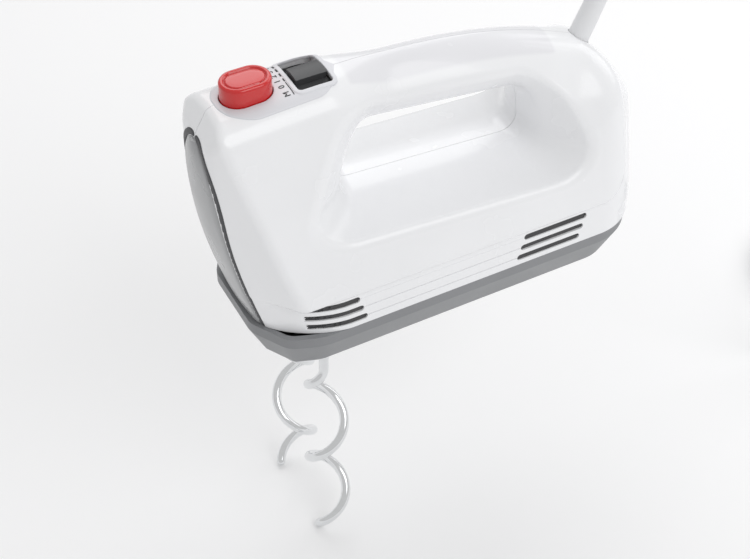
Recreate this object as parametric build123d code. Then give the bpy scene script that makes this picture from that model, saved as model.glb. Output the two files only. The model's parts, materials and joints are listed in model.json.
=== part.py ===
from build123d import *
import os
from functools import lru_cache
from math import atan2, cos, degrees, pi, radians, sin, tan

# Hand mixer with two dough hooks and a mains cord, in millimetres.
# +Z is up, the nose points to -X, the cord leaves at +X, and the mixer is symmetric about y = 0.
# The origin is the centre of the flat underside.

# ---- driving dimensions: casing ----
WALL = 2.6
INLAY = 1.3                 # thickness of the panels let into the casing
PLATE_PROUD = 2.0           # how far the nose plate stands out of the casing
HALF_WIDTH = 40.0
BELT_Z = 20.0               # casing above this height, bottom tray below it
WAIST_Z = 36.0              # sides are upright below this height
SIDE_SLOPE = 0.29           # inward lean of the sides above the waist, mm per mm
REAR_X = 115.5
FLOOR_FADE = 10.0           # forms run down to here before they are cut at the belt
# ridge line of the casing: (x, height, radius of the shoulder)
RIDGE = [(-88, 117.8, 8), (-50, 119.6, 8), (-18, 120.8, 10), (10, 119.4, 14),
         (40, 115.8, 14), (70, 108.0, 14), (97, 96.5, 14), (125, 82.0, 14)]

VENT_ROWS = (34.0, 29.0, 24.0)      # heights of the slots
SHELL_SCREWS = [(-63.0, 97.0), (4.0, 103.5), (56.0, 97.5), (98.0, 52.0), (-59.5, 34.0)]
TRAY_SCREWS = [(-52.0, 0.0), (0.0, 27.0), (0.0, -27.0), (92.0, 20.0), (92.0, -20.0)]
BOSS_R = 3.4
SCREW_R = 1.4
TRAY_HALF = 38.6
TRAY_SEAM_Z = 15.0          # the tray's band is upright above this height
TRAY_DRAW = 7.0             # how far its sides draw in below the band
TRAY_WALL = 2.4

# ---- hand opening ----
NECK_HALF = 12.0
FLARE_HALF = 42.0

# ---- drive train ----
SHAFT_Z = 32.0
SPINDLE_X = -34.0
SPINDLE_Y = 17.0
SPINDLE_R = 5.0
HOOK_SHANK_R = 2.95
HOOK_BORE_R = 3.0
HOOK_SHANK_TOP = 26.0
WHEEL_TEETH = 26
WORM_STARTS = 2
WHEEL_PITCH_R = 13.0
WORM_PITCH_R = SPINDLE_Y - WHEEL_PITCH_R
LEAD = WORM_STARTS * 2 * pi * WHEEL_PITCH_R / WHEEL_TEETH
RUN_GAP = 0.05              # radial clearance of the running fits
SHAFT_R = 2.5
BEARING_R = 6.0
BUSH_R = 6.5
CORE_X = (12.0, 40.0)       # length of the lamination stacks
ROTOR_R = 13.6
FAN_R = 21.0
FAN_BLADES = 14
GEARBOX_X = (-51.0, -17.0)
DECKS = ((16.2, 19.2), (43.5, 46.5))
LEAD_ANGLE = degrees(atan2(LEAD, 2 * pi * WORM_PITCH_R))
WHEEL_PHASE = {-1: 10.05, 1: 3.8}     # turn of each wheel that puts it in mesh, in degrees

# ---- controls ----
BUTTON_X = -54.0
BUTTON_LENGTH = 20.4
BUTTON_WIDTH = 14.6
BUTTON_TOP = 127.2
FLANGE_TOP = 114.9          # flange of the button, under the casing's roof
SPRING_FOOT = 97.5
SPRING_HEAD = 113.6
SLIDER_X = -29.0
DRUM_Z = 103.0              # axle of the rotary speed slider
DRUM_R = 16.0
DRUM_HALF_LENGTH = 6.9
DRUM_SPAN = (-64.0, 56.0)   # degrees from the top, towards +Y
THUMB_SPAN = (-12.5, 12.5)
WINDOW_Y = (-8.5, 12.0)
WINDOW_HALF_X = 7.2

# ---- hooks ----
HOOK_WIRE_R = 2.1
HELIX_R = 8.3
HELIX_PITCH = 49.0
HELIX_TOP = -30.0
HOOK_TIP = -124.0
FLOOR_Z = -126.1            # the surface under the hook tips, where the cord lies

# ---- mains cord ----
CORD_D = 6.5
EXIT_X = 95.0
EXIT_Z = 96.5
EXIT_ANGLE = 66.0           # degrees above the horizontal
RELIEF_LENGTH = 44.0
CORD_LENGTH = 1200.0
CORE_WIRE_R = 0.9           # the cores inside the cord, and the motor leads
COIL_X = 288.0
COIL_Y = -3.0
COIL_INNER_R = 29.5
COIL_OUTER_R = 42.5
COIL_HEIGHT = 13.0
TIE_THICK = 0.9
PLUG_BASE = Vector(COIL_X - 20, COIL_Y - 29, FLOOR_Z + TIE_THICK + COIL_HEIGHT - 0.3)
PLUG_LENGTH = 50.0
PLUG_HEIGHT = 13.5
PIN_R = 2.0
PIN_LENGTH = 19.0
PIN_HALF_PITCH = 9.3


# ---------------------------------------------------------------- small helpers
def box(x0, x1, y0, y1, z0, z1):
    size = (x1 - x0, y1 - y0, z1 - z0)
    return Pos((x0 + x1) / 2, (y0 + y1) / 2, (z0 + z1) / 2) * Box(*size)


def rod_x(radius, x0, x1, y=0.0, z=SHAFT_Z):
    return Pos((x0 + x1) / 2, y, z) * Rot(0, 90, 0) * Cylinder(radius, x1 - x0)


def rod_y(radius, y0, y1, x, z):
    return Pos(x, (y0 + y1) / 2, z) * Rot(90, 0, 0) * Cylinder(radius, y1 - y0)


def rod_z(radius, z0, z1, x, y):
    return Pos(x, y, (z0 + z1) / 2) * Cylinder(radius, z1 - z0)


def tube_x(outer, inner, x0, x1, y=0.0, z=SHAFT_Z):
    return rod_x(outer, x0, x1, y, z) - rod_x(inner, x0 - 1, x1 + 1, y, z)


def tube_z(outer, inner, z0, z1, x, y):
    return rod_z(outer, z0, z1, x, y) - rod_z(inner, z0 - 1, z1 + 1, x, y)


def slab_xz(outline, y0, y1):
    """A side outline in X and Z, drawn out from y0 to y1."""
    return Pos(0, y1, 0) * extrude(Plane.XZ * outline, amount=y1 - y0)


def write(node, shape):
    solids = shape.solids()
    solid = solids[0] if len(solids) == 1 else Compound(children=list(solids))
    export_step(solid, f"parts/{node}.step")


# ---------------------------------------------------------------- casing form
def cross_section(x, top, shoulder, inset):
    """The casing's section at x: upright foot, leaning sides, rounded shoulders."""
    half = HALF_WIDTH - inset
    ridge = top - inset
    shoulder_half = half - (ridge - WAIST_Z) * SIDE_SLOPE
    right = [(half, FLOOR_FADE), (half, WAIST_Z), (shoulder_half, ridge)]
    left = [(-y, z) for y, z in reversed(right)]
    radius = max(shoulder - inset, 3)
    line = FilletPolyline(right + left, radius=[0, 60, radius, radius, 60, 0], close=True)
    return Plane.YZ.offset(x) * make_face(line)


def side_outline(inset):
    """Nose, open top and rounded back, seen from the side, moved inwards by inset."""
    foot_x = -62.0 + inset
    nose = ThreePointArc((foot_x, FLOOR_FADE), (-71.5 + inset, 50), (-76.0 + inset, 100))
    brow_x = -73.4 + inset
    shoulder = (86.0 - 0.5 * inset, 107.5 - 0.9 * inset)
    brow = Polyline((-76.0 + inset, 100), (brow_x, 117), (brow_x, 140), (70, 140), shoulder)
    back_x = REAR_X - inset
    upper = (99.0 - 0.6 * inset, 96.6 - 0.8 * inset)
    middle = (109.5 - 0.8 * inset, 86.0 - 0.6 * inset)
    lower = (114.6 - 0.95 * inset, 73.5 - 0.2 * inset)
    slopes = ((1, -0.55), (0, -1))
    back = Spline(shoulder, upper, middle, lower, (back_x, 56.0), tangents=slopes)
    heel = Polyline((back_x, 56.0), (back_x, FLOOR_FADE), (foot_x, FLOOR_FADE))
    return make_face([nose, brow, back, heel])


def plan_outline(inset):
    """Tapered nose and round back, seen from above."""
    half = [(-84, 3.0), (-58.5, 35.5), (-43, HALF_WIDTH), (REAR_X, HALF_WIDTH)]
    ring = half + [(x, -y) for x, y in reversed(half)]
    radii = [2, 10, 25, 27]
    line = FilletPolyline(ring, radius=radii + radii[::-1], close=True)
    outline = make_face(line)
    return offset(outline, amount=-inset) if inset else outline


@lru_cache
def form(inset):
    """The casing's outer form, moved inwards by inset, without the hand opening."""
    loaf = loft([cross_section(x, top, shoulder, inset) for x, top, shoulder in RIDGE])
    side = slab_xz(side_outline(inset), -50, 50)
    plan = extrude(plan_outline(inset), amount=150)
    return loaf & side & plan


def opening_ring(corners, radii, grow, y):
    """The hand opening's outline on the plane at y, grown outwards by grow."""
    steps = [(-1, -1), (1, -1), (1, 1), (-1, 1)]
    points = [(x + sx * grow, z + sz * grow) for (x, z), (sx, sz) in zip(corners, steps)]
    line = FilletPolyline(points, radius=[r + grow for r in radii], close=True)
    return Plane.XZ.offset(-y) * make_face(line)


@lru_cache
def hand_opening(grow):
    """A straight neck through the middle, flaring out to both sides."""
    neck = [(-20.0, 65.5), (67.5, 60.0), (64.0, 87.0), (-14.0, 96.0)]
    flare = [(-56.5, 57.0), (93.0, 51.5), (88.0, 176.0), (-50.0, 185.0)]
    neck_radii = [8, 9, 8, 9]
    flare_radii = [18, 18, 24, 24]
    void = Pos(0, NECK_HALF, 0) * extrude(opening_ring(neck, neck_radii, grow, 0), 2 * NECK_HALF)
    for side in (-1, 1):
        near = opening_ring(neck, neck_radii, grow, side * NECK_HALF)
        far = opening_ring(flare, flare_radii, grow * 1.3, side * FLARE_HALF)
        void += loft([near, far], ruled=True)
    return void


def nose_leaf(grow):
    """The nose plate's outline, pointed at the top, as a bar along X."""
    half = [(0.0, 107.5 + grow), (10.5 + grow, 96.0), (16.0 + grow, 58.0), (19.5 + grow, 22.0 - grow)]
    right = Spline(half[0], half[1], half[2], half[3], tangents=((1, -0.25), (0.1, -1)))
    left = mirror(right, Plane.YZ)
    foot = Line(half[3], (-half[3][0], half[3][1]))
    return extrude(Plane.YZ.offset(-95) * make_face([right, foot, left]), 50)


def panel_outline():
    """The control panel seen from above: blunt tip at the nose, angled rear end."""
    corners = [(-67.0, -6.0), (-60.0, -13.6), (-24.5, -13.0), (-17.5, 0.0)]
    ring = corners + [(-24.5, 13.0), (-60.0, 13.6), (-67.0, 6.0)]
    return make_face(FilletPolyline(ring, radius=[4, 4, 4, 3, 4, 4, 4], close=True))


# ---------------------------------------------------------------- casing parts
def vent_slots(x0, x1, side, lean):
    """Three stacked slots through one side wall."""
    slots = []
    for row, z in enumerate(VENT_ROWS):
        start = x0 + lean * row
        end = x1 + lean * row
        y0, y1 = sorted((side * 34.0, side * 45.0))
        bar = box(start, end, y0, y1, z - 1.5, z + 1.5)
        slots.append(fillet(bar.edges().filter_by(Axis.Y), 1.4))
    return slots


def cord_seat(radius):
    """A bar along the cord's exit direction, centred on the exit."""
    tilt = 90 - EXIT_ANGLE
    return Pos(EXIT_X, 0, EXIT_Z) * Rot(0, tilt, 0) * Cylinder(radius, 60)


def relief_flange(radius, depth, height):
    """A collar of the strain relief inside the casing."""
    tilt = 90 - EXIT_ANGLE
    return Pos(EXIT_X, 0, EXIT_Z) * Rot(0, tilt, 0) * Pos(0, 0, -depth) * Cylinder(radius, height)


def casing():
    """The whole hollow casing, with seats for what is let into it."""
    outer = form(0)
    shell = (outer - hand_opening(0)) - (form(WALL) - hand_opening(WALL))
    cut_below = box(-120, 150, -60, 60, -5, BELT_Z)
    shell -= cut_below
    shell -= nose_leaf(1.6) & (outer - form(INLAY))
    shell -= extrude(panel_outline(), amount=150) & (outer - form(INLAY)) - box(-90, 0, -50, 50, 0, 100)
    solid_wall = form(0.5) - hand_opening(0.5)
    shelf = box(-62, -46, -28, 28, 94.5, 97.5) & solid_wall
    shell += shelf
    for x, z in SHELL_SCREWS:
        shell += rod_y(BOSS_R, -45, 45, x, z) & solid_wall
    shell -= button_bar(0.35, 112, 135)
    shell -= rod_z(2.9, 90, 100, BUTTON_X, 0)
    shell -= window_bar(0.5)
    shell -= cord_seat(4.75)
    shell -= relief_flange(6.65, 6.0, 2.3)
    for side in (-1, 1):
        for slot in vent_slots(-56, -27, side, 1.6) + vent_slots(50, 81, side, -1.5):
            shell -= slot
    for x, z in SHELL_SCREWS:
        shell -= rod_y(SCREW_R, -8, 45, x, z)
        shell -= rod_y(2.6, 10, 45, x, z)
    return shell


def control_panel():
    skin = form(0) - form(INLAY)
    panel = extrude(panel_outline(), amount=150) & skin
    panel &= box(-90, 0, -50, 50, 100, 140)
    return panel - button_bar(0.35, 110, 135) - window_bar(0)


def nose_parts():
    """The dark border and the plate inside it."""
    skin = form(-PLATE_PROUD) - form(INLAY)
    skin &= box(-100, -40, -40, 40, BELT_Z + 0.2, 112)
    leaf = nose_leaf(0)
    border = (nose_leaf(1.6) - leaf) & skin
    plate = leaf & skin
    return border, plate


def tray_ring(inset, z):
    return Plane.XY.offset(z) * plan_outline_tray(inset)


def plan_outline_tray(inset):
    half = [(-66.5, 17.0), (-57.0, 33.5), (-43, TRAY_HALF), (REAR_X - 1.2, TRAY_HALF)]
    ring = half + [(x, -y) for x, y in reversed(half)]
    radii = [10, 10, 25, 26]
    line = FilletPolyline(ring, radius=radii + radii[::-1], close=True)
    outline = make_face(line)
    return offset(outline, amount=-inset) if inset else outline


def bottom_tray():
    """The grey tray under the casing: an upright band, then sides that draw in to a flat base."""
    band = extrude(tray_ring(0, TRAY_SEAM_Z), BELT_Z - TRAY_SEAM_Z)
    belly = loft([tray_ring(TRAY_DRAW, 0), tray_ring(0, TRAY_SEAM_Z)], ruled=True)
    inner_rim = tray_ring(TRAY_WALL, TRAY_SEAM_Z)
    inner_band = extrude(inner_rim, 10)
    inner_belly = loft([tray_ring(TRAY_DRAW + TRAY_WALL, TRAY_WALL), inner_rim], ruled=True)
    tray = band + belly - inner_band - inner_belly
    for side in (-1, 1):
        tray += rod_z(8.2, 0.5, 12, SPINDLE_X, side * SPINDLE_Y)
        tray -= rod_z(BUSH_R, -1, 13, SPINDLE_X, side * SPINDLE_Y)
    for x, y in TRAY_SCREWS:
        tray += rod_z(3.6, 0.5, 14, x, y)
        tray -= rod_z(1.45, -1, 15, x, y)
        tray -= rod_z(2.9, -1, 2.6, x, y)
    return tray


def vent_screens(side):
    """Finned screens behind the slots of one side."""
    screens = []
    for x0, x1 in ((-43.0, -22.0), (45.0, 82.0)):
        y0, y1 = sorted((side * 35.1, side * 36.9))
        screens.append(box(x0, x1, y0, y1, 21.0, 35.0))
    return Compound(children=screens)


# ---------------------------------------------------------------- controls
def button_bar(grow, z0, z1):
    """The eject button's rounded outline as a bar from z0 to z1."""
    outline = SlotOverall(BUTTON_LENGTH + 2 * grow, BUTTON_WIDTH + 2 * grow)
    return Pos(BUTTON_X, 0, z0) * extrude(outline, z1 - z0)


def window_bar(grow):
    """The slider's window as a bar along Z."""
    x0, x1 = SLIDER_X - WINDOW_HALF_X - grow, SLIDER_X + WINDOW_HALF_X + grow
    return box(x0, x1, WINDOW_Y[0] - grow, WINDOW_Y[1] + grow, 98, 130)


def eject_button():
    """Rounded cap with a dished top, and a flange under the casing that stops it coming out."""
    cap = button_bar(0, FLANGE_TOP, BUTTON_TOP)
    cap = fillet(cap.edges().group_by(Axis.Z)[-1], 1.2)
    flange = button_bar(1.6, SPRING_HEAD, FLANGE_TOP)
    dish = button_bar(-2.0, BUTTON_TOP - 0.7, BUTTON_TOP + 1)
    return cap + flange - dish


def ejector_fork():
    """Stem under the button, a bridge across the spindles and a pin down each spindle."""
    stem = rod_z(2.5, 56, SPRING_HEAD, BUTTON_X, 0)
    arm = box(BUTTON_X - 3, SPINDLE_X + 4, -4, 4, 56, 59)
    bridge = box(SPINDLE_X - 4, SPINDLE_X + 4, -SPINDLE_Y - 4, SPINDLE_Y + 4, 56, 59)
    fork = stem + arm + bridge
    for side in (-1, 1):
        fork += rod_z(1.9, HOOK_SHANK_TOP + 0.2, 57, SPINDLE_X, side * SPINDLE_Y)
    return fork


def coil_spring(radius, wire, z0, z1, turns):
    """A compression spring on the Z axis, its wire inside z0 to z1."""
    rise = z1 - z0 - 2 * wire
    path = Helix(pitch=rise / turns, height=rise, radius=radius, center=(0, 0, z0 + wire))
    start = Plane(origin=path @ 0, z_dir=path % 0)
    return sweep(start * Circle(wire), path=path, is_frenet=True)


def drum_slice(outer, inner, span, x0, x1):
    """Part of a ring round the slider's axle, between two angles from the top."""
    a0, a1 = (radians(a) for a in span)
    middle = (a0 + a1) / 2

    def at(radius, angle):
        return (radius * sin(angle), DRUM_Z + radius * cos(angle))

    rim = ThreePointArc(at(outer, a0), at(outer, middle), at(outer, a1))
    bore = ThreePointArc(at(inner, a1), at(inner, middle), at(inner, a0))
    ends = [Line(at(outer, a1), at(inner, a1)), Line(at(inner, a0), at(outer, a0))]
    face = make_face([rim, ends[0], bore, ends[1]])
    return extrude(Plane.YZ.offset(x0) * face, x1 - x0)


def speed_slider():
    """Drum with a raised thumb ridge, on two cheeks that turn on the switch's axle."""
    x0, x1 = SLIDER_X - DRUM_HALF_LENGTH, SLIDER_X + DRUM_HALF_LENGTH
    drum = drum_slice(DRUM_R, DRUM_R - 1.6, DRUM_SPAN, x0, x1)
    ridge = drum_slice(DRUM_R + 3.4, DRUM_R - 0.5, THUMB_SPAN, x0 + 0.5, x1 - 0.5)
    drum += ridge
    for cheek_x in (x0, x1 - 1.3):
        drum += drum_slice(DRUM_R - 1.0, 2.5, (-60, 52), cheek_x, cheek_x + 1.3)
        drum += rod_x(3.6, cheek_x, cheek_x + 1.3, 0, DRUM_Z)
    return drum - rod_x(1.8 + RUN_GAP, x0 - 1, x1 + 1, 0, DRUM_Z)


def switch_module():
    """Switch body with two ears that carry the slider's axle."""
    body = box(-40, -20, -9, 9, 82, 95)
    for x in (-38.8, -21.6):
        body += box(x, x + 1.8, -4, 4, 94, DRUM_Z + 3)
    return body + rod_x(1.8, -38, -20.5, 0, DRUM_Z)


# ---------------------------------------------------------------- motor
def field_core():
    """Square lamination stack with two poles around the rotor."""
    x0, x1 = CORE_X
    core = box(x0, x1, -23, 23, SHAFT_Z - 22, SHAFT_Z + 22)
    core = fillet(core.edges().filter_by(Axis.X), 6)
    core -= rod_x(14.2, x0 - 1, x1 + 1)
    for side in (-1, 1):
        z0, z1 = sorted((SHAFT_Z + side * 9.0, SHAFT_Z + side * 18.0))
        core -= box(x0 - 1, x1 + 1, -17, 17, z0, z1)
    return core


def field_coils():
    """A winding above and a winding below the rotor."""
    coils = []
    for side in (-1, 1):
        z0, z1 = sorted((SHAFT_Z + side * 14.6, SHAFT_Z + side * 17.6))
        outer = box(CORE_X[0] - 5, CORE_X[1] + 5, -16.5, 16.5, z0, z1)
        coils.append(fillet(outer.edges().filter_by(Axis.Z), 4))
    return Compound(children=coils)


def armature():
    shaft = rod_x(SHAFT_R, -50, 80)
    core = rod_x(ROTOR_R, CORE_X[0] + 1, CORE_X[1] - 1) - rod_x(SHAFT_R, 0, 60)
    for index in range(12):
        slot = box(0, 60, 11.2, 15, -0.9, 0.9)
        core -= Pos(0, 0, SHAFT_Z) * Rot(index * 30, 0, 0) * slot
    ends = []
    for x0, x1 in ((CORE_X[0] - 6, CORE_X[0] + 1), (CORE_X[1] - 1, CORE_X[1] + 6)):
        winding = tube_x(11.0, SHAFT_R, x0, x1)
        rims = winding.edges().filter_by(GeomType.CIRCLE).group_by(SortBy.RADIUS)[-1]
        ends.append(fillet(rims, 1.5))
    windings = Compound(children=ends)
    commutator = tube_x(8.5, SHAFT_R, 49, 62)
    for index in range(24):
        groove = box(50, 63, 7.9, 9, -0.2, 0.2)
        commutator -= Pos(0, 0, SHAFT_Z) * Rot(index * 15, 0, 0) * groove
    return shaft, core, windings, commutator


def fan():
    """Radial fan between the gearbox and the motor."""
    wheel = tube_x(FAN_R, SHAFT_R, -7.0, -5.5) + tube_x(5.5, SHAFT_R, -5.5, 3.0)
    for index in range(FAN_BLADES):
        blade = box(-5.6, 2.4, 5.0, FAN_R - 0.4, -0.5, 0.5)
        wheel += Pos(0, 0, SHAFT_Z) * Rot(index * 360 / FAN_BLADES, 0, 0) * blade
    return wheel


def worm():
    """Two-start worm on the front of the shaft."""
    x0, x1 = SPINDLE_X - 9, SPINDLE_X + 9
    core = rod_x(WORM_PITCH_R - 0.7, x0, x1)
    for start in range(WORM_STARTS):
        path = Helix(pitch=LEAD, height=14, radius=WORM_PITCH_R - 0.8, direction=(1, 0, 0))
        tooth = Polyline((0, -0.75), (1.3, -0.35), (1.3, 0.35), (0, 0.75), close=True)
        section = Plane(origin=path @ 0, x_dir=(path @ 0).normalized(), z_dir=path % 0) * make_face(tooth)
        thread = sweep(section, path=path, is_frenet=True)
        core += Pos(SPINDLE_X - 7, 0, SHAFT_Z) * Rot(start * 180, 0, 0) * thread
    return core - rod_x(SHAFT_R, x0 - 1, x1 + 1)


def worm_wheel(side):
    """Wheel with slanted gullets; at rest a gullet faces each thread of the worm."""
    y = side * SPINDLE_Y
    wheel = rod_z(WHEEL_PITCH_R + 0.5, SHAFT_Z - 3.5, SHAFT_Z + 3.5, SPINDLE_X, y)
    depth, rim = WHEEL_PITCH_R - 1.3, WHEEL_PITCH_R + 1.2
    gullet = Polyline((depth, -0.85), (rim, -1.3), (rim, 1.3), (depth, 0.85), close=True)
    cutter = Rot(-LEAD_ANGLE, 0, 0) * extrude(make_face(gullet), 7, both=True)
    for index in range(WHEEL_TEETH):
        turn = -side * 90 + WHEEL_PHASE[side] + index * 360 / WHEEL_TEETH
        wheel -= Pos(SPINDLE_X, y, SHAFT_Z) * Rot(0, 0, turn) * cutter
    return wheel - rod_z(SPINDLE_R, 20, 50, SPINDLE_X, y)


def spindle(side):
    y = side * SPINDLE_Y
    body = rod_z(SPINDLE_R, -1.0, 50, SPINDLE_X, y) + rod_z(6.2, 13.0, 15.0, SPINDLE_X, y)
    body -= rod_z(HOOK_BORE_R, -3, HOOK_SHANK_TOP + 1, SPINDLE_X, y)
    body -= rod_z(2.1, 20, 52, SPINDLE_X, y)
    for turn in (0, 90):
        notch = Pos(SPINDLE_X, y, 0) * Rot(0, 0, turn) * Box(14, 1.7, 8)
        body -= notch
    return body


def drive_bushes(z0, z1):
    rings = [tube_z(BUSH_R, SPINDLE_R + RUN_GAP, z0, z1, SPINDLE_X, s * SPINDLE_Y) for s in (-1, 1)]
    return Compound(children=rings)


def gearbox_frame():
    """Two decks joined by pillars and a rear wall, holding the spindle bushes and the shaft."""
    x0, x1 = GEARBOX_X
    low, high = DECKS[0][0], DECKS[1][1]
    frame = box(x0, x1, -26, 26, *DECKS[0]) + box(x0, x1, -26, 26, *DECKS[1])
    for y0 in (-26, 22):
        frame += box(x0, x0 + 3, y0, y0 + 4, low, high)
    frame += box(x0, x0 + 3.4, -5, 5, low, high)
    frame += box(x1 - 2.5, x1, -26, 26, low, high)
    frame -= rod_x(BEARING_R, x1 - 4, x1 + 1)
    frame -= rod_x(SHAFT_R + RUN_GAP, x0 - 1, x0 + 5)
    for side in (-1, 1):
        frame -= rod_z(BUSH_R, 15, 20, SPINDLE_X, side * SPINDLE_Y)
        frame -= rod_z(BUSH_R, 43, 48, SPINDLE_X, side * SPINDLE_Y)
    return frame


def motor_bracket(x0, x1, bearing_outer):
    """Cross bar with a bearing seat, bolted to the field core's corners."""
    bar = box(x0, x1, -21, 21, SHAFT_Z - 6, SHAFT_Z + 6)
    return bar - rod_x(bearing_outer, x0 - 1, x1 + 1)


def rear_bracket():
    bar = motor_bracket(66, 70, BEARING_R)
    for side in (-1, 1):
        bar += box(CORE_X[1], 70, side * 20 - 1, side * 20 + 1, SHAFT_Z - 6, SHAFT_Z + 6)
    return bar


def bearing(x0, x1):
    return tube_x(BEARING_R, SHAFT_R + RUN_GAP, x0, x1)


def brushes():
    blocks = []
    for s in (-1, 1):
        blocks.append(box(53.5, 58.5, *sorted((s * 8.6, s * 15.0)), SHAFT_Z - 2.5, SHAFT_Z + 2.5))
    return Compound(children=blocks)


def brush_holders():
    holders = []
    for s in (-1, 1):
        tube = box(52.3, 59.7, *sorted((s * 9.6, s * 19.0)), SHAFT_Z - 3.7, SHAFT_Z + 3.7)
        tube -= box(53.5, 58.5, *sorted((s * 5.0, s * 18.0)), SHAFT_Z - 2.5, SHAFT_Z + 2.5)
        holders.append(tube)
    return Compound(children=holders)


def brush_springs():
    springs = []
    for s in (-1, 1):
        spring = coil_spring(1.7, 0.25, 0, 2.9, 4)
        springs.append(Pos(56, s * 15.05, SHAFT_Z) * Rot(-s * 90, 0, 0) * spring)
    return Compound(children=springs)


# ---------------------------------------------------------------- hooks
def hook_route(side):
    """Points of one hook: straight shank, then a helix that keeps its radius to the tip."""
    points = [Vector(0, 0, HOOK_SHANK_TOP - 4), Vector(0, 0, -16)]
    step = 45
    turns = (HELIX_TOP - HOOK_TIP) / HELIX_PITCH
    for index in range(int(turns * 360 / step) + 1):
        angle = index * step
        grow = min(1.0, 0.42 + index * 0.3)
        z = HELIX_TOP - HELIX_PITCH * angle / 360
        turn = radians(180 + side * angle)
        points.append(Vector(HELIX_R * grow * cos(turn), HELIX_R * grow * sin(turn), z))
    return points


def arc_radii(points, share=0.45):
    """Each corner's arc: as large as its two runs allow."""
    radii = []
    for a, b, c in zip(points, points[1:], points[2:]):
        run_in, run_out = b - a, c - b
        half_turn = radians(run_in.get_angle(run_out)) / 2
        radii.append(share * min(run_in.length, run_out.length) / tan(half_turn))
    return radii


def rounded_tube(points, radius):
    """A round bar along straight runs joined by tangent arcs."""
    path = FilletPolyline(points, radius=arc_radii(points))
    start = Plane(origin=path @ 0, z_dir=path % 0)
    return sweep(start * Circle(radius), path=path)


def hook(side):
    y = side * SPINDLE_Y
    wire = rounded_tube(hook_route(side), HOOK_WIRE_R)
    tip = Pos(*hook_route(side)[-1]) * Sphere(HOOK_WIRE_R)
    shank = rod_z(HOOK_SHANK_R, -8.0, HOOK_SHANK_TOP, 0, 0)
    shank = chamfer(shank.edges().group_by(Axis.Z)[-1], 0.8)
    lugs = box(-4.6, 4.6, -0.7, 0.7, -1.0, 3.6) + box(-0.7, 0.7, -4.6, 4.6, -1.0, 3.6)
    return Pos(SPINDLE_X, y, 0) * (wire + tip + shank + lugs)


def hook_collar(side):
    """Plastic collar under the lugs; the right hook has the wider one."""
    outer = 6.0 if side < 0 else 8.0
    collar = tube_z(outer, HOOK_SHANK_R, -6.5, -1.2, SPINDLE_X, side * SPINDLE_Y)
    foot = collar.edges().group_by(Axis.Z)[0].filter_by(GeomType.CIRCLE)
    return chamfer(foot.sort_by(SortBy.RADIUS)[-1], 1.0)


# ---------------------------------------------------------------- cord
def exit_direction():
    return Vector(cos(radians(EXIT_ANGLE)), 0, sin(radians(EXIT_ANGLE)))


def cord_route():
    """Up out of the relief, over in a wide arch and down to the surface, to the coil's edge."""
    start = Vector(EXIT_X, 0, EXIT_Z) + exit_direction() * RELIEF_LENGTH
    first = start + exit_direction() * 27
    lie = FLOOR_Z + CORD_D / 2
    arch = [(136, -5, 183), (156, -12, 195), (180, -20, 191), (197, -27, 172), (204, -31, 143)]
    drop = [(207, -34, 107), (209, -36, 66), (210.5, -37.5, 20), (211.5, -38.5, -25),
            (212, -39.5, -63), (212.5, -40.3, -92.5)]
    landing = [(223.5, -40.7, -111.7), (242.5, -41.2, lie), (262.5, -42.6, lie), (278, -42.25, lie)]
    return [start, first] + [Vector(*p) for p in arch + drop + landing]


def strain_relief():
    """Tapered sleeve with grooves, and a flange held in the casing."""
    sleeve = Pos(0, 0, -8) * Cylinder(4.7, 18, align=(Align.CENTER, Align.CENTER, Align.MIN))
    taper = Pos(0, 0, 10) * Cone(4.7, 3.9, RELIEF_LENGTH - 10, align=(Align.CENTER, Align.CENTER, Align.MIN))
    flange = Pos(0, 0, -7.1) * Cylinder(6.6, 2.2, align=(Align.CENTER, Align.CENTER, Align.MIN))
    relief = sleeve + taper + flange
    for index in range(7):
        ring = Pos(0, 0, 14 + index * 3.6) * (Cylinder(6, 1.3) - Cylinder(3.75, 3))
        relief -= ring
    return Pos(EXIT_X, 0, EXIT_Z) * Rot(0, 90 - EXIT_ANGLE, 0) * relief


def cord_coil():
    base = FLOOR_Z + TIE_THICK
    ring = tube_z(COIL_OUTER_R, COIL_INNER_R, base, base + COIL_HEIGHT, COIL_X, COIL_Y)
    return fillet(ring.edges().filter_by(GeomType.CIRCLE), 3.0)


def coil_tie():
    """Band round the coil's section."""
    base = FLOOR_Z
    top = base + COIL_HEIGHT + 2 * TIE_THICK
    x0, x1 = COIL_X + COIL_INNER_R - TIE_THICK, COIL_X + COIL_OUTER_R + TIE_THICK
    band = box(x0, x1, COIL_Y - 5, COIL_Y + 5, base, top)
    return band - cord_coil()


def mains_plug():
    """Flat two-pin plug body lying on the coil, its sleeve to the rear."""
    x, y, z = PLUG_BASE
    front = x + PLUG_LENGTH
    sleeve = [(x + 20, y + 4), (x - 3, y + 4), (x - 3, y - 4), (x + 20, y - 4)]
    grip = [(x + 26, y - 13), (front, y - 13), (front, y + 13), (x + 26, y + 13)]
    profile = Polyline(*sleeve, *grip, close=True)
    body = extrude(Pos(0, 0, z) * make_face(profile), PLUG_HEIGHT)
    return fillet(body.edges().filter_by(Axis.Z), 2.0)


def plug_pins():
    pins = []
    front = PLUG_BASE.X + PLUG_LENGTH
    for offset_y in (-PIN_HALF_PITCH, PIN_HALF_PITCH):
        y, z = PLUG_BASE.Y + offset_y, PLUG_BASE.Z + PLUG_HEIGHT / 2
        pins.append(rod_x(PIN_R, front, front + PIN_LENGTH, y, z))
    return Compound(children=pins)


def wire(points, radius):
    return rounded_tube([Vector(*p) for p in points], radius)


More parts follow.
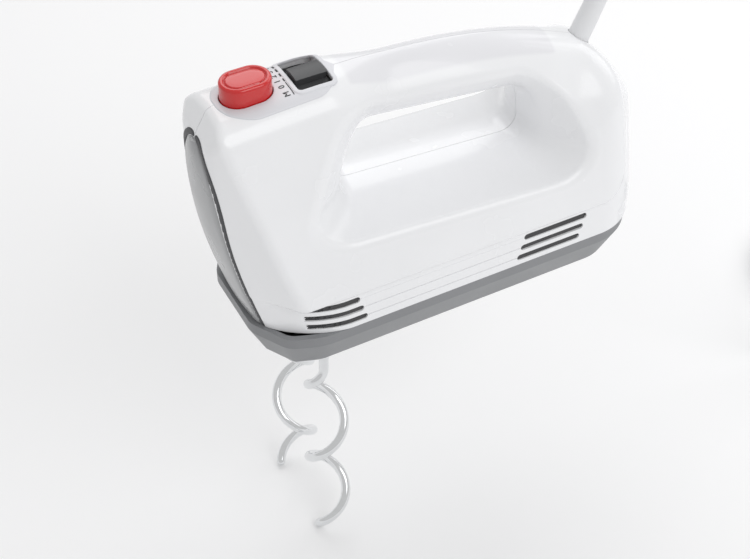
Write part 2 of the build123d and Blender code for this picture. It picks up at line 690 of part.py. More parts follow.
def handle_wires():
    """Brown and blue cores from the cord's end to the switch."""
    wires = []
    for side in (-1, 1):
        y = side * 2.2
        along_grip = [(88.5, y, 86.8), (80, y, 92), (70, y, 99.5), (56, y * 1.8, 105.6), (30, y * 1.6, 110.4)]
        to_switch = [(6, y * 1.8, 111.6), (-8, side * 5, 110.5), (-15.5, side * 6, 105),
                     (-18.6, side * 6, 99), (-19.0, side * 6, 95)]
        wires.append(wire(along_grip + to_switch, CORE_WIRE_R))
    return Compound(children=wires)


def motor_wires():
    """Leads from the switch down to the field coils."""
    wires = []
    for side in (-1, 1):
        down = [(-30, side * 4, 82), (-30, side * 4, 76), (-27.5, side * 6, 66), (-20, side * 9, 56.5)]
        along = [(-8, side * 11, 55.2), (2, side * 11, 54.4), (9.5, side * 9, 51.0)]
        wires.append(wire(down + along, CORE_WIRE_R))
    return Compound(children=wires)


def screw(x, y, z, axis, length, head_r):
    """Pan-head screw with its head at the given point, running along axis."""
    head = Cylinder(head_r, 1.8, align=(Align.CENTER, Align.CENTER, Align.MIN))
    head -= Pos(0, 0, 1.2) * Box(0.8, head_r * 1.2, 2)
    shank = Pos(0, 0, -length) * Cylinder(SCREW_R, length, align=(Align.CENTER, Align.CENTER, Align.MIN))
    return Plane(origin=(x, y, z), z_dir=axis) * (head + shank)


def casing_screws():
    """One screw through the right shell into each boss."""
    return Compound(children=[screw(x, 10.0, z, (0, 1, 0), 16, 2.4) for x, z in SHELL_SCREWS])


def tray_screws():
    return Compound(children=[screw(x, y, 2.6, (0, 0, -1), 13, 2.6) for x, y in TRAY_SCREWS])


def casing_nodes():
    shell = casing()
    border, plate = nose_parts()
    return {
        "left_shell": shell & box(-150, 250, -80, 0, -10, 150),
        "right_shell": shell & box(-150, 250, 0, 80, -10, 150),
        "control_panel": control_panel(),
        "nose_border": border,
        "nose_plate": plate,
        "bottom_tray": bottom_tray(),
        "left_vent_screens": vent_screens(-1),
        "right_vent_screens": vent_screens(1),
        "casing_screws": casing_screws(),
        "tray_screws": tray_screws(),
    }


def control_nodes():
    return {
        "eject_button": eject_button(),
        "ejector_fork": ejector_fork(),
        "eject_spring": Pos(BUTTON_X, 0, 0) * coil_spring(4.0, 0.45, SPRING_FOOT, SPRING_HEAD, 6),
        "speed_slider": speed_slider(),
        "switch_module": switch_module(),
        "control_board": box(-42.5, -41.1, -10, 10, 64, 98),
        "suppression_capacitor": box(-41.1, -33.0, -7, 7, 66, 79),
        "handle_wires": handle_wires(),
        "motor_wires": motor_wires(),
    }


def motor_nodes():
    shaft, core, windings, commutator = armature()
    return {
        "field_core": field_core(),
        "field_coils": field_coils(),
        "motor_shaft": shaft,
        "armature_core": core,
        "armature_windings": windings,
        "commutator": commutator,
        "cooling_fan": fan(),
        "worm": worm(),
        "front_bearing": bearing(-19.5, -15.5),
        "rear_bearing": bearing(66, 70),
        "rear_bracket": rear_bracket(),
        "carbon_brushes": brushes(),
        "brush_holders": brush_holders(),
        "brush_springs": brush_springs(),
    }


def drive_nodes():
    nodes = {
        "gearbox_frame": gearbox_frame(),
        "upper_bushes": drive_bushes(43.0, 47.0),
        "lower_bushes": drive_bushes(16.0, 19.4),
    }
    for name, side in (("left", -1), ("right", 1)):
        nodes[f"{name}_spindle"] = spindle(side)
        nodes[f"{name}_worm_wheel"] = worm_wheel(side)
        nodes[f"{name}_dough_hook"] = hook(side)
        nodes[f"{name}_hook_collar"] = hook_collar(side)
    return nodes


def cord_nodes():
    route = cord_route()
    radii = arc_radii(route)
    print("cord radii:", [round(r, 1) for r in radii])
    cord = rounded_tube(route, CORD_D / 2)
    length = FilletPolyline(route, radius=radii).length
    section = pi * CORD_D ** 2 / 4
    print(f"free stretch {length:.0f} mm, coil holds {CORD_LENGTH - length:.0f} mm")
    print(f"tube volume over section times length: {cord.volume / (section * length):.4f}")
    return {
        "strain_relief": strain_relief(),
        "mains_cord": cord,
        "cord_coil": cord_coil(),
        "coil_tie": coil_tie(),
        "mains_plug": mains_plug(),
        "plug_pins": plug_pins(),
    }


def main():
    os.makedirs("parts", exist_ok=True)
    for group in (cord_nodes, drive_nodes, motor_nodes, control_nodes, casing_nodes):
        for node, shape in group().items():
            write(node, shape)


if __name__ == "__main__":
    main()
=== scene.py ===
import json
from math import cos, pi, radians, sin

import bmesh
import bpy
import numpy as np
from mathutils import Matrix, Vector


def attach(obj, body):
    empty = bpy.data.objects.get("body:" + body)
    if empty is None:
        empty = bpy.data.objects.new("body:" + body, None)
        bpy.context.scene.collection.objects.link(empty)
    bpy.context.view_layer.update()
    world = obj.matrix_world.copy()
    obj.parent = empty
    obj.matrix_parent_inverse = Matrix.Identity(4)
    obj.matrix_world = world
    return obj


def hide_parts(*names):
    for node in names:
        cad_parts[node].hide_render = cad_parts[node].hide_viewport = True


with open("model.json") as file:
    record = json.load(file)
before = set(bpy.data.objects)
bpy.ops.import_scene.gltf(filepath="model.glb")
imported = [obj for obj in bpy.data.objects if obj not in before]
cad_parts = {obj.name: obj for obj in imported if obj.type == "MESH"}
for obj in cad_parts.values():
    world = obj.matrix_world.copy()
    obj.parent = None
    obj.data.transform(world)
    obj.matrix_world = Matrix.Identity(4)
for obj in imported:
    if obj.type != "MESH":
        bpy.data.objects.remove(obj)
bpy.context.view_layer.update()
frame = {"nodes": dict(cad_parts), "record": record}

MM = 0.001

# ---- casing, in millimetres: +Z up, nose at -X, the sides mirror each other about y = 0 ----
HALF_WIDTH = 40.0
WAIST_Z = 36.0              # the sides lean in above this height
SIDE_LEAN = 0.285
SIDE_BELLY = 1.2            # outward bow of the leaning sides
BACK_X = 115.5
BELT_Z = 20.15              # lower edge of the shells
WALL = 3.4
SEAM_GAP = 0.11             # half the gap between the two shells
PILLOW_RISE = 1.0           # the raised side stands this far out of the lower band
PILLOW_FOOT_Z = 36.6
PILLOW_BACK_X = 104.0
RIDGE = [(-88, 117.8), (-50, 119.6), (-18, 120.8), (10, 119.4),     # the top's line, as x and z
         (40, 115.8), (70, 108.0), (97, 96.5), (125, 82.0)]
RIDGE_CURVE = np.polyfit([p[0] for p in RIDGE], [p[1] for p in RIDGE], 5)
BEVEL_NORMAL = (-0.787, 0.617)      # slanted face between the side and the nose plate, in X and |y|
BEVEL_OFFSET = 67.6
NOSE_X = -76.0
NOSE_TOP_Z = 104.0
NOSE_RAKE = 0.00184                 # the nose falls back below NOSE_TOP_Z as a parabola
NECK_HALF = 12.0                    # straight middle of the hand opening
INLAY_DEPTH = 0.7                   # the nose and panel pieces reach this far into the casing
VENT_DEPTH = 1.05                   # the louvred sheets lie this far under the casing's surface
VENT_LOW, VENT_HIGH = 21.4, 36.6
VENT_PITCH = 1.1

# ---- controls ----
BUTTON_X = -54.0
BUTTON_LENGTH, BUTTON_WIDTH = 20.4, 14.6
BUTTON_TOP = 127.2
FLANGE_LOW, FLANGE_TOP = 113.6, 114.9
HOLE_GAP = 0.6                      # between the casing and what comes through it
SLIDER_X = -29.0
WINDOW = (SLIDER_X - 7.2, SLIDER_X + 7.2, -8.5, 12.0)
MARK_X, BAR_X = -40.9, -38.7
VENT_ROWS = (34.0, 29.0, 24.0)
SLOT_HEIGHT = 2.9
SHELL_SCREWS = [(-63.0, 97.0), (4.0, 103.5), (56.0, 97.5), (98.0, 52.0), (-59.5, 34.0)]
WELL_R, TUBE_R = 2.6, 3.4

# ---- dough hooks ----
SPINDLE_X, SPINDLE_Y = -34.0, 17.0
SHANK_R, ROD_R = 2.95, 2.1
HELIX_TOP, HELIX_TIP = -22.0, -124.0
HELIX_PITCH, HELIX_REACH = 49.0, 8.3

# ---- cord ----
CORD_D = 6.5
EXIT = (95.0, 0.0, 96.5)
EXIT_ANGLE = radians(66.0)
EXIT_DIRECTION = Vector((cos(EXIT_ANGLE), 0, sin(EXIT_ANGLE)))
RELIEF_LENGTH = 44.0
FLOOR_Z = -126.1
ROUTE = [(112.896, 0, 136.696), (123.878, 0, 161.362), (136, -5, 183), (156, -12, 195), (180, -20, 191),
         (197, -27, 172), (204, -31, 143), (207, -34, 107), (209, -36, 66), (210.5, -37.5, 20),
         (211.5, -38.5, -25), (212, -39.5, -63), (212.5, -40.3, -92.5), (223.5, -40.7, -111.7),
         (242.5, -41.2, -122.85), (262.5, -42.6, -122.85)]
COIL_CENTRE = (288.0, -3.0)
COIL_TURNS = 2 + 309 / 360    # from the landing round to the plug's sleeve
COIL_OUTER, COIL_INNER = 39.25, 32.75
PLUG_BASE = (268.0, -32.0, -112.5)
PLUG_LENGTH = 50.0
PLUG_HEIGHT = 13.5


# ------------------------------------------------------------------ fields
def ramp(u, start, end):
    """0 before start, 1 after end, smooth between."""
    t = np.clip((u - start) / (end - start), 0, 1)
    return t * t * (3 - 2 * t)


def soft(u, k):
    """The positive part of u, with its corner rounded over k."""
    return 0.5 * (u + np.sqrt(u * u + k * k))


def meets(a, b, r):
    """What is inside both fields, with the edge between them rounded to radius r."""
    return np.minimum(-r, np.maximum(a, b)) + np.hypot(np.maximum(a + r, 0), np.maximum(b + r, 0))


def joins(a, b, r):
    """What is inside either field, with the corner between them filled to radius r."""
    return -meets(-a, -b, r)


def rounded_box(u, v, half_u, half_v, r):
    """Distance to a rectangle about (0, 0) with rounded corners."""
    du, dv = np.abs(u) - half_u + r, np.abs(v) - half_v + r
    return np.hypot(np.maximum(du, 0), np.maximum(dv, 0)) + np.minimum(np.maximum(du, dv), 0) - r


def grip(x):
    """1 along the handle, 0 at the nose and at the back."""
    return ramp(x, -30, 4) * (1 - ramp(x, 78, 104))


def half_width(x, z):
    lean = SIDE_LEAN * soft(z - WAIST_Z, 6)
    belly = SIDE_BELLY * np.sin(pi * np.clip((z - WAIST_Z) / 70, 0, 1)) ** 2
    return HALF_WIDTH - lean + belly - 4.3 * ramp(z, 82, 99) * grip(x)


def nose_x(z):
    return NOSE_X + NOSE_RAKE * np.maximum(NOSE_TOP_Z - z, 0) ** 2


def nose_field(x, z):
    """Front face, the slanted faces beside it and the chamfer under the top."""
    rake = 2 * NOSE_RAKE * np.maximum(NOSE_TOP_Z - z, 0)
    front = -(x - nose_x(z)) / np.sqrt(1 + rake ** 2)
    brow = -0.87 * (x - NOSE_X) + 0.5 * (z - 108)
    return meets(front, brow, 1.5)


def bevel_field(x, a, z):
    offset = BEVEL_OFFSET - 0.55 * soft(nose_x(z) + 73, 1.5)
    return BEVEL_NORMAL[0] * x + BEVEL_NORMAL[1] * a - offset


def casing_form(x, y, z):
    """The casing's outer form without the hand opening."""
    a = np.sqrt(y * y + 0.04)
    fall = np.polyval(np.polyder(RIDGE_CURVE), x)
    crown = 0.004 + 0.016 * grip(x)
    top = (z - np.polyval(RIDGE_CURVE, x) + crown * a * a) / np.sqrt(1 + fall ** 2)
    side = (a - half_width(x, z)) / np.sqrt(1 + SIDE_LEAN ** 2)
    shoulder = 8 + 6 * ramp(x, -30, 10)
    bevel = bevel_field(x, a, z)
    back = x - BACK_X
    band = meets(meets(meets(side + PILLOW_RISE, top, shoulder), bevel, 15), back, 26)
    outline = rounded_box(x - PILLOW_BACK_X + 150, z - PILLOW_FOOT_Z - 100, 150, 100, 15)
    raised = meets(meets(meets(side, top, shoulder), bevel, 2.2), back, 26)
    form = joins(band, meets(raised, outline, 1.6), 0.8)
    return meets(form, nose_field(x, z), 2.0)


def hand_opening(x, y, z):
    """A straight neck through the middle that flares out to each side."""
    a = np.abs(y)
    past = soft(a - NECK_HALF, 6)
    growth = 0.5 * (1 + (a - NECK_HALF) / np.sqrt((a - NECK_HALF) ** 2 + 36))
    share = past / 30
    front_neck = -20 + 0.197 * (z - 65.5)
    front_rim = -56.5 + 0.05 * (z - 57)
    front = -(x - front_neck - (front_rim - front_neck) * share) / np.sqrt(1 + (1.2 * growth) ** 2)
    rear_neck = 67.5 - 0.13 * (z - 60)
    rear_rim = 93 - 0.04 * (z - 51.5)
    rear = (x - rear_neck - (rear_rim - rear_neck) * share) / np.sqrt(1 + (0.85 * growth) ** 2)
    floor_neck = 65.5 - 0.0629 * (x + 20)
    floor = -(z - floor_neck + 6.8 * (1 - np.exp(-past / 9))) / np.sqrt(1 + (0.5 * growth) ** 2)
    climb = soft(a - NECK_HALF, 3.5)
    climb_rate = 0.5 * (1 + (a - NECK_HALF) / np.sqrt((a - NECK_HALF) ** 2 + 12))
    roof_neck = 96 - 0.1154 * (x + 14) + 0.012 * a * a
    roof = (z - roof_neck - 2.95 * climb) / np.sqrt(1 + (2.95 * climb_rate) ** 2)
    corner = 8.5 + 9 * np.clip(share, 0, 1)
    return meets(meets(front, roof, corner), meets(rear, floor, corner), corner)


def casing(x, y, z):
    return meets(casing_form(x, y, z), -hand_opening(x, y, z), 2.8)


def casing_wall(x, y, z):
    form = casing(x, y, z)
    return np.maximum(form, -(form + WALL))


def half_wall(x, y, z):
    """The left half's wall, closed a little past its seam and its lower edge."""
    return np.maximum(casing_wall(x, y, z), np.maximum(y - 1.5, 16 - z))


def leaf_half(z):
    """Half the width of the nose plate at height z: straight sides that close in an arch at the top."""
    arch = 1 - (np.maximum(z - 60, 0) / 47.5) ** 4
    return (21.6 - 0.097 * z) * np.sqrt(np.maximum(arch, 0))


def leaf_field(y, z, grow):
    return (np.abs(y) - leaf_half(z) - grow) * 0.8


def nose_plate_field(x, y, z):
    form = casing_form(x, y, z)
    across = np.abs(y) / np.maximum(leaf_half(z), 1)
    swell = 0.5 + 1.45 * (1 - np.clip(across, 0, 1) ** 2)
    skin = meets(form - swell, leaf_field(y, z, -0.25), 0.5)
    ends = np.maximum(z - 106.9, 20.4 - z)
    return np.maximum(np.maximum(skin, ends), -(form + INLAY_DEPTH))


def nose_border_field(x, y, z):
    form = casing_form(x, y, z)
    rim = meets(meets(leaf_field(y, z - 2.2, 1.9), -leaf_field(y, z, 0.4), 0.25), z - 109.2, 1.2)
    strip = meets(form - 0.45, rim, 0.3)
    return np.maximum(np.maximum(strip, 20.4 - z), -(form + INLAY_DEPTH))


def panel_outline(x, y):
    """Blunt tip at the nose, nearly straight sides, angled rear end."""
    a = np.abs(y)
    side = a - 13.6 + 0.017 * (x + 60)
    tip = -0.735 * (x + 67) + 0.678 * (a - 6)
    rear = 0.87 * (x + 24.5) + 0.47 * (a - 13)
    return meets(meets(meets(side, tip, 5), rear, 5), -(x + 67), 3)


def panel_field(x, y, z):
    form = casing_form(x, y, z)
    body = meets(form - 0.4, panel_outline(x, y), 0.5)
    body = np.maximum(body, -(form + INLAY_DEPTH))
    hole = button_outline(x, y, 0.35)
    x0, x1, y0, y1 = WINDOW
    window = rounded_box(x - (x0 + x1) / 2, y - (y0 + y1) / 2, (x1 - x0) / 2, (y1 - y0) / 2, 1.4)
    rim = np.maximum(form - 0.75, np.abs(window - 0.9) - 0.9)
    body = joins(body, np.maximum(rim, -(form + INLAY_DEPTH)), 0.3)
    return meets(meets(body, -hole, 0.25), -window, 0.3)


def button_outline(x, y, grow):
    reach = np.maximum(np.abs(x - BUTTON_X) - (BUTTON_LENGTH - BUTTON_WIDTH) / 2, 0)
    return np.hypot(reach, y) - BUTTON_WIDTH / 2 - grow


# ------------------------------------------------------------------ meshing
def net(field, x_range, y_range, z_range, steps):
    """Quad mesh of the surface where the field is 0, one point in each grid cell that it crosses."""
    axes = [np.arange(lo, hi + step, step) for (lo, hi), step in zip((x_range, y_range, z_range), steps)]
    value = field(*np.meshgrid(*axes, indexing="ij"))
    inside = value < 0
    cells = tuple(n - 1 for n in value.shape)
    count = np.zeros(cells)
    total = np.zeros((3,) + cells)
    crossings = []
    for axis in range(3):
        low = [slice(None)] * 3
        high = [slice(None)] * 3
        low[axis], high[axis] = slice(0, -1), slice(1, None)
        v0, v1 = value[tuple(low)], value[tuple(high)]
        cross = inside[tuple(low)] != inside[tuple(high)]
        gap = np.where(cross, v0 - v1, 1)
        share = np.where(cross, v0 / gap, 0)
        crossings.append((cross, inside[tuple(low)]))
        others = [i for i in range(3) if i != axis]
        for du in (0, 1):
            for dv in (0, 1):
                pick = [slice(None)] * 3
                for other, d in zip(others, (du, dv)):
                    pick[other] = slice(d, cells[other] + d)
                c, s = cross[tuple(pick)], share[tuple(pick)]
                count += c
                for i in range(3):
                    shape = [1, 1, 1]
                    shape[i] = cells[i]
                    if i == axis:
                        place = axes[i][:-1].reshape(shape) + s * steps[i]
                    else:
                        d = du if i == others[0] else dv
                        place = axes[i][d:cells[i] + d].reshape(shape)
                    total[i] += c * place
    used = count > 0
    index = np.full(cells, -1)
    index[used] = np.arange(used.sum())
    points = np.stack([total[i][used] / count[used] for i in range(3)], axis=1)
    faces = [net_faces(index, *crossings[axis], axis, cells) for axis in range(3)]
    return settle(field, points, min(steps)), np.concatenate(faces)


def net_faces(index, cross, from_inside, axis, cells):
    """One quad round each grid edge that the surface crosses, facing out."""
    others = [i for i in range(3) if i != axis]
    pick = [slice(None)] * 3
    for other in others:
        pick[other] = slice(1, cells[other])
    at = np.argwhere(cross[tuple(pick)])
    outward = from_inside[tuple(pick)][tuple(at.T)]
    at[:, others] += 1
    corners = []
    for du, dv in ((-1, -1), (0, -1), (0, 0), (-1, 0)):
        cell = at.copy()
        cell[:, others[0]] += du
        cell[:, others[1]] += dv
        corners.append(index[tuple(cell.T)])
    quads = np.stack(corners, axis=1)
    flip = outward if axis == 1 else ~outward
    quads[flip] = quads[flip][:, ::-1]
    return quads


def settle(field, points, step):
    """Moves the points onto the surface."""
    h = 0.02
    for _ in range(4):
        value = field(*points.T)
        slope = np.empty_like(points)
        for i in range(3):
            shift = np.zeros(3)
            shift[i] = h
            slope[:, i] = (field(*(points + shift).T) - field(*(points - shift).T)) / (2 * h)
        move = slope * (value / np.maximum((slope ** 2).sum(1), 0.2))[:, None]
        length = np.linalg.norm(move, axis=1, keepdims=True)
        points = points - move * np.minimum(1, 0.4 * step / np.maximum(length, 1e-9))
    return points


def mesh_object(name, points, faces, sharp=radians(40)):
    """A smooth-shaded object from points in millimetres."""
    mesh = bpy.data.meshes.new(name)
    mesh.from_pydata((np.asarray(points, float) * MM).tolist(), [], [list(map(int, f)) for f in faces])
    mesh.validate()
    obj = bpy.data.objects.new(name, mesh)
    bpy.context.scene.collection.objects.link(obj)
    finish_mesh(obj, sharp)
    return obj


def finish_mesh(obj, sharp=radians(40)):
    """Outward normals, smooth shading, and sharp edges past the given angle."""
    bm = bmesh.new()
    bm.from_mesh(obj.data)
    bmesh.ops.remove_doubles(bm, verts=bm.verts, dist=1e-7)
    bmesh.ops.recalc_face_normals(bm, faces=bm.faces)
    bm.to_mesh(obj.data)
    bm.free()
    obj.data.shade_smooth()
    obj.data.set_sharp_from_angle(angle=sharp)


def prism(outline, start, end, u=(1, 0, 0), v=(0, 1, 0)):
    """Points and faces of an outline in the u, v plane, drawn from start to end."""
    u, v, start, end = (np.array(k, float) for k in (u, v, start, end))
    flat = np.array([u * a + v * b for a, b in outline])
    n = len(flat)
    points = np.concatenate([flat + start, flat + end])
    faces = [list(range(n))[::-1], list(range(n, 2 * n))]
    faces += [[i, (i + 1) % n, n + (i + 1) % n, n + i] for i in range(n)]
    return points, faces


def obround(length, width, segments=12):
    """Outline of a slot with round ends, about (0, 0)."""
    reach = (length - width) / 2
    outline = []
    for side, start in ((1, 0), (-1, pi)):
        for i in range(segments + 1):
            angle = (i / segments - 0.5) * pi + start
            outline.append((side * reach + width / 2 * cos(angle), width / 2 * sin(angle)))
    return outline


def rectangle(x0, x1, y0, y1):
    return [(x0, y0), (x1, y0), (x1, y1), (x0, y1)]


def joined(parts):
    """Several (points, faces) as one."""
    points, faces, start = [], [], 0
    for p, f in parts:
        points.append(np.asarray(p, float))
        faces += [[i + start for i in face] for face in f]
        start += len(p)
    return np.concatenate(points), faces


def cut_with(obj, parts):
    """Subtracts closed shapes from the object's mesh."""
    cutter = mesh_object("cutter", *joined(parts))
    change = obj.modifiers.new("cut", "BOOLEAN")
    change.operation, change.solver, change.object = "DIFFERENCE", "EXACT", cutter
    bpy.context.view_layer.update()
    result = bpy.data.meshes.new_from_object(obj.evaluated_get(bpy.context.evaluated_depsgraph_get()))
    obj.modifiers.remove(change)
    obj.data = result
    bpy.data.objects.remove(cutter)
    finish_mesh(obj, radians(38))
    return obj


def lathe(profile, centre=(0, 0, 0), axis=(0, 0, 1), segments=48):
    """A closed turned shape from (radius, height) pairs along an axis."""
    turn = Vector(axis).to_track_quat("Z", "Y").to_matrix()
    points = []
    for radius, height in profile:
        for i in range(segments):
            angle = 2 * pi * i / segments
            place = turn @ Vector((radius * cos(angle), radius * sin(angle), height))
            points.append(place + Vector(centre))
    return [tuple(p) for p in points], ring_faces(len(profile), segments)


def ring_faces(count, size):
    """Faces between rings of points that lie one after another, and a cap at each end."""
    faces = []
    for ring in range(count - 1):
        low, high = ring * size, (ring + 1) * size
        for i in range(size):
            j = (i + 1) % size
            faces.append([low + i, low + j, high + j, high + i])
    faces.append(list(range(size))[::-1])
    faces.append([(count - 1) * size + i for i in range(size)])
    return faces


def wire_mesh(name, route, radii, sides=20):
    """A round bar through the route's points, with a radius at each."""
    curve = bpy.data.curves.new(name, "CURVE")
    curve.dimensions = "3D"
    spline = curve.splines.new("POLY")
    spline.points.add(len(route) - 1)
    for point, place, radius in zip(spline.points, route, radii):
        point.co = (*(Vector(place) * MM), 1)
        point.radius = radius
    curve.bevel_depth = MM
    curve.bevel_resolution = sides // 4
    curve.use_fill_caps = True
    temp = bpy.data.objects.new(name, curve)
    bpy.context.scene.collection.objects.link(temp)
    bpy.context.view_layer.update()
    mesh = bpy.data.meshes.new_from_object(temp.evaluated_get(bpy.context.evaluated_depsgraph_get()))
    bpy.data.objects.remove(temp)
    obj = bpy.data.objects.new(name, mesh)
    bpy.context.scene.collection.objects.link(obj)
    finish_mesh(obj, radians(50))
    return obj


# ------------------------------------------------------------------ materials
def new_material(name, colour, roughness, metallic=0.0, coat=0.0):
    mat = bpy.data.materials.new(name)
    mat.use_nodes = True
    shader = mat.node_tree.nodes["Principled BSDF"]
    shader.inputs["Base Color"].default_value = (*colour, 1)
    shader.inputs["Roughness"].default_value = roughness
    shader.inputs["Metallic"].default_value = metallic
    shader.inputs["Coat Weight"].default_value = coat
    shader.inputs["Coat Roughness"].default_value = 0.08
    shader.inputs["Specular IOR Level"].default_value = 0.5
    return mat, mat.node_tree, shader


def noise(tree, scale, detail=3.0, stretch=(1, 1, 1)):
    """Noise on the object's own coordinates; scale counts features per metre."""
    place = tree.nodes.new("ShaderNodeTexCoord")
    mapping = tree.nodes.new("ShaderNodeMapping")
    mapping.inputs["Scale"].default_value = stretch
    texture = tree.nodes.new("ShaderNodeTexNoise")
    texture.inputs["Scale"].default_value = scale
    texture.inputs["Detail"].default_value = detail
    tree.links.new(place.outputs["Object"], mapping.inputs["Vector"])
    tree.links.new(mapping.outputs["Vector"], texture.inputs["Vector"])
    return texture.outputs["Fac"]


def spread(tree, source, low, high):
    """Maps a 0..1 value to low..high."""
    node = tree.nodes.new("ShaderNodeMapRange")
    node.inputs["From Min"].default_value = 0.3
    node.inputs["From Max"].default_value = 0.7
    node.inputs["To Min"].default_value = low
    node.inputs["To Max"].default_value = high
    tree.links.new(source, node.inputs["Value"])
    return node.outputs["Result"]


def tint(tree, source, dark, light):
    """A colour between dark and light."""
    node = tree.nodes.new("ShaderNodeValToRGB")
    node.color_ramp.elements[0].position, node.color_ramp.elements[0].color = 0.35, (*dark, 1)
    node.color_ramp.elements[1].position, node.color_ramp.elements[1].color = 0.65, (*light, 1)
    tree.links.new(source, node.inputs["Fac"])
    return node.outputs["Color"]


def bump(tree, shader, source, height_mm, coat=False):
    node = tree.nodes.new("ShaderNodeBump")
    node.inputs["Strength"].default_value = 1.0
    node.inputs["Distance"].default_value = height_mm * MM
    tree.links.new(source, node.inputs["Height"])
    tree.links.new(node.outputs["Normal"], shader.inputs["Normal"])
    if coat:
        tree.links.new(node.outputs["Normal"], shader.inputs["Coat Normal"])


def plastic(name, colour, roughness, coat=0.0, grain=900, grain_mm=0.004, vary=0.02, rough_vary=0.04):
    """Moulded plastic: a faint cloud in its colour, uneven gloss, and a fine skin texture."""
    mat, tree, shader = new_material(name, colour, roughness, coat=coat)
    cloud = noise(tree, 18)
    dark = [c * (1 - vary) for c in colour]
    light = [min(1, c * (1 + vary)) for c in colour]
    tree.links.new(tint(tree, cloud, dark, light), shader.inputs["Base Color"])
    patchy = spread(tree, noise(tree, 60), roughness - rough_vary, roughness + rough_vary)
    tree.links.new(patchy, shader.inputs["Roughness"])
    bump(tree, shader, noise(tree, grain, 2.0), grain_mm)
    return mat


def metal(name, colour, roughness, stretch=(1, 1, 1), grain=400, grain_mm=0.002, rough_vary=0.05, vary=0.06):
    """Metal with fine tool marks along one direction and slightly uneven polish."""
    mat, tree, shader = new_material(name, colour, roughness, metallic=1.0)
    marks = noise(tree, grain, 4.0, stretch)
    dark = [c * (1 - vary) for c in colour]
    tree.links.new(tint(tree, marks, dark, colour), shader.inputs["Base Color"])
    worn = spread(tree, marks, roughness - rough_vary, roughness + rough_vary)
    tree.links.new(worn, shader.inputs["Roughness"])
    bump(tree, shader, marks, grain_mm)
    return mat


def white_with_painted_grip_shade():
    """The casing's gloss white; the grip's upper facet is darkened in its colour as painted shade."""
    colour = (0.875, 0.88, 0.895)
    mat, tree, shader = new_material("white_gloss", colour, 0.24, coat=0.35)
    nodes, links = tree.nodes, tree.links
    clean = tint(tree, noise(tree, 14), [c * 0.985 for c in colour], [min(1, c * 1.015) for c in colour])
    place = nodes.new("ShaderNodeTexCoord")
    split = nodes.new("ShaderNodeSeparateXYZ")
    links.new(place.outputs["Object"], split.inputs[0])

    def window(output, low, high, edge):
        masks = []
        for bound, sign in ((low, 1), (high, -1)):
            step = nodes.new("ShaderNodeMapRange")
            step.interpolation_type = "SMOOTHSTEP"
            step.inputs["From Min"].default_value = (bound - edge * sign) * MM
            step.inputs["From Max"].default_value = (bound + edge * sign) * MM
            links.new(output, step.inputs["Value"])
            masks.append(step.outputs["Result"])
        both = nodes.new("ShaderNodeMath")
        both.operation = "MULTIPLY"
        links.new(masks[0], both.inputs[0])
        links.new(masks[1], both.inputs[1])
        return both.outputs[0]

    # painted shade: a window over the top of the grip, x -16 to 77 mm, |y| under 10.5 mm, z above 101 mm
    facet = nodes.new("ShaderNodeMath")
    facet.operation = "MULTIPLY"
    links.new(window(split.outputs["X"], -16, 77, 1.2), facet.inputs[0])
    links.new(window(split.outputs["Y"], -10.5, 10.5, 0.8), facet.inputs[1])
    painted_shade_mask = nodes.new("ShaderNodeMath")
    painted_shade_mask.operation = "MULTIPLY"
    links.new(facet.outputs[0], painted_shade_mask.inputs[0])
    links.new(window(split.outputs["Z"], 101, 140, 1.0), painted_shade_mask.inputs[1])
    mix = nodes.new("ShaderNodeMix")
    mix.data_type = "RGBA"
    links.new(painted_shade_mask.outputs[0], mix.inputs["Factor"])
    links.new(clean, mix.inputs[6])
    # painted shade colour of the grip's upper facet
    mix.inputs[7].default_value = (0.80, 0.80, 0.825, 1)
    links.new(mix.outputs[2], shader.inputs["Base Color"])
    links.new(spread(tree, noise(tree, 45), 0.2, 0.29), shader.inputs["Roughness"])
    bump(tree, shader, noise(tree, 500, 2.0), 0.0015)
    return mat


def banded(name, colour, roughness, metallic, axis, scale, distortion, shade, depth_mm):
    """Fine dark lines across one axis, as between stacked sheets or turns of wire."""
    mat, tree, shader = new_material(name, colour, roughness, metallic=metallic)
    place = tree.nodes.new("ShaderNodeTexCoord")
    wave = tree.nodes.new("ShaderNodeTexWave")
    wave.bands_direction = axis
    wave.inputs["Scale"].default_value = scale
    wave.inputs["Distortion"].default_value = distortion
    tree.links.new(place.outputs["Object"], wave.inputs["Vector"])
    lines = tint(tree, wave.outputs["Fac"], [c * shade for c in colour], colour)
    tree.links.new(lines, shader.inputs["Base Color"])
    bump(tree, shader, wave.outputs["Fac"], depth_mm)
    return mat


def woven(name, colour):
    """Hook-and-loop tape: a coarse weave with a matt pile."""
    mat, tree, shader = new_material(name, colour, 0.9)
    pile = noise(tree, 1800, 4.0)
    weave = noise(tree, 500, 1.0, (1, 3, 1))
    threads = tint(tree, weave, [c * 0.5 for c in colour], [c * 1.8 for c in colour])
    tree.links.new(threads, shader.inputs["Base Color"])
    bump(tree, shader, pile, 0.25)
    return mat


